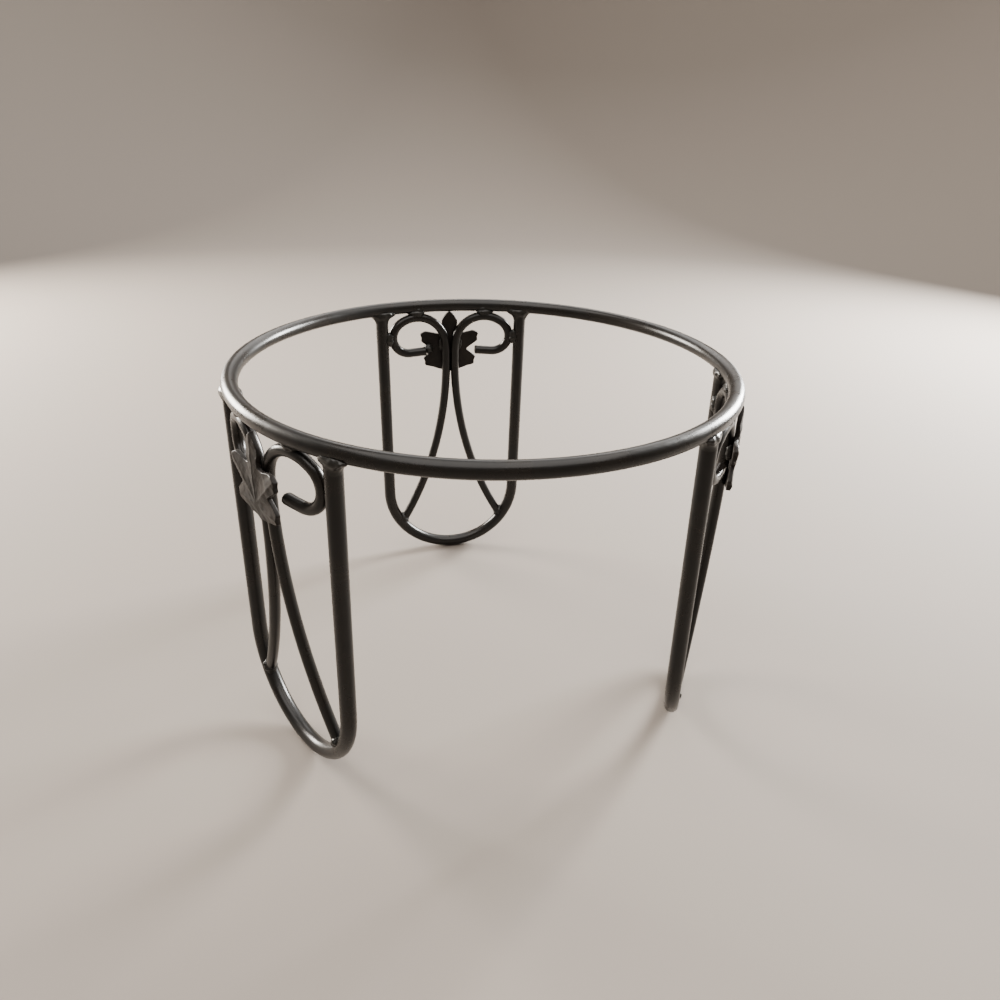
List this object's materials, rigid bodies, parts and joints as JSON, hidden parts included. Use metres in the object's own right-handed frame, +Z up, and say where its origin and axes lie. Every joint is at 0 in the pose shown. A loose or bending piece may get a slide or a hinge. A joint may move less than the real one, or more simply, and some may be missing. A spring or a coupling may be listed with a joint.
{
  "type": "pot stand",
  "caption": "Round wrought-iron pot stand: a bar ring on leaning U-shaped legs, each with paired scroll rods and a lobed leaf ornament.",
  "frame": {"origin": "centre of the stand on the floor plane, at the bottom of the feet", "axes": "+Z up through the ring's axis; +Y towards the rear leg; +X to the right seen from the front"},
  "size_m": [0.2128, 0.2111, 0.1527],
  "materials": {
    "bar_paint": "satin dark bronze-black paint over iron bar, slightly uneven",
    "leaf_paint": "satin brown-black paint over a cast leaf, with veins",
    "weld_paint": "glossier dark paint over rippled weld beads"
  },
  "bodies": {
    "root": {"top_ring": "bar_paint", "leg_bar_rear": "bar_paint", "leaf_rear": "leaf_paint", "scroll_rear_a": "bar_paint", "weld_ring_upright_rear_a": "weld_paint", "weld_ring_scroll_rear_a": "weld_paint", "weld_upright_scroll_rear_a": "weld_paint", "weld_leaf_scroll_rear_a": "weld_paint", "weld_foot_scroll_rear_a": "weld_paint", "scroll_rear_b": "bar_paint", "weld_ring_upright_rear_b": "weld_paint", "weld_ring_scroll_rear_b": "weld_paint", "weld_upright_scroll_rear_b": "weld_paint", "weld_leaf_scroll_rear_b": "weld_paint", "weld_foot_scroll_rear_b": "weld_paint", "weld_leaf_tip_rear": "weld_paint", "leg_bar_left": "bar_paint", "leaf_left": "leaf_paint", "scroll_left_a": "bar_paint", "weld_ring_upright_left_a": "weld_paint", "weld_ring_scroll_left_a": "weld_paint", "weld_upright_scroll_left_a": "weld_paint", "weld_leaf_scroll_left_a": "weld_paint", "weld_foot_scroll_left_a": "weld_paint", "scroll_left_b": "bar_paint", "weld_ring_upright_left_b": "weld_paint", "weld_ring_scroll_left_b": "weld_paint", "weld_upright_scroll_left_b": "weld_paint", "weld_leaf_scroll_left_b": "weld_paint", "weld_foot_scroll_left_b": "weld_paint", "leg_bar_right": "bar_paint", "leaf_right": "leaf_paint", "scroll_right_a": "bar_paint", "weld_ring_upright_right_a": "weld_paint", "weld_ring_scroll_right_a": "weld_paint", "weld_upright_scroll_right_a": "weld_paint", "weld_leaf_scroll_right_a": "weld_paint", "weld_foot_scroll_right_a": "weld_paint", "scroll_right_b": "bar_paint", "weld_ring_upright_right_b": "weld_paint", "weld_ring_scroll_right_b": "weld_paint", "weld_upright_scroll_right_b": "weld_paint", "weld_leaf_scroll_right_b": "weld_paint", "weld_foot_scroll_right_b": "weld_paint"}
  },
  "joints": []
}
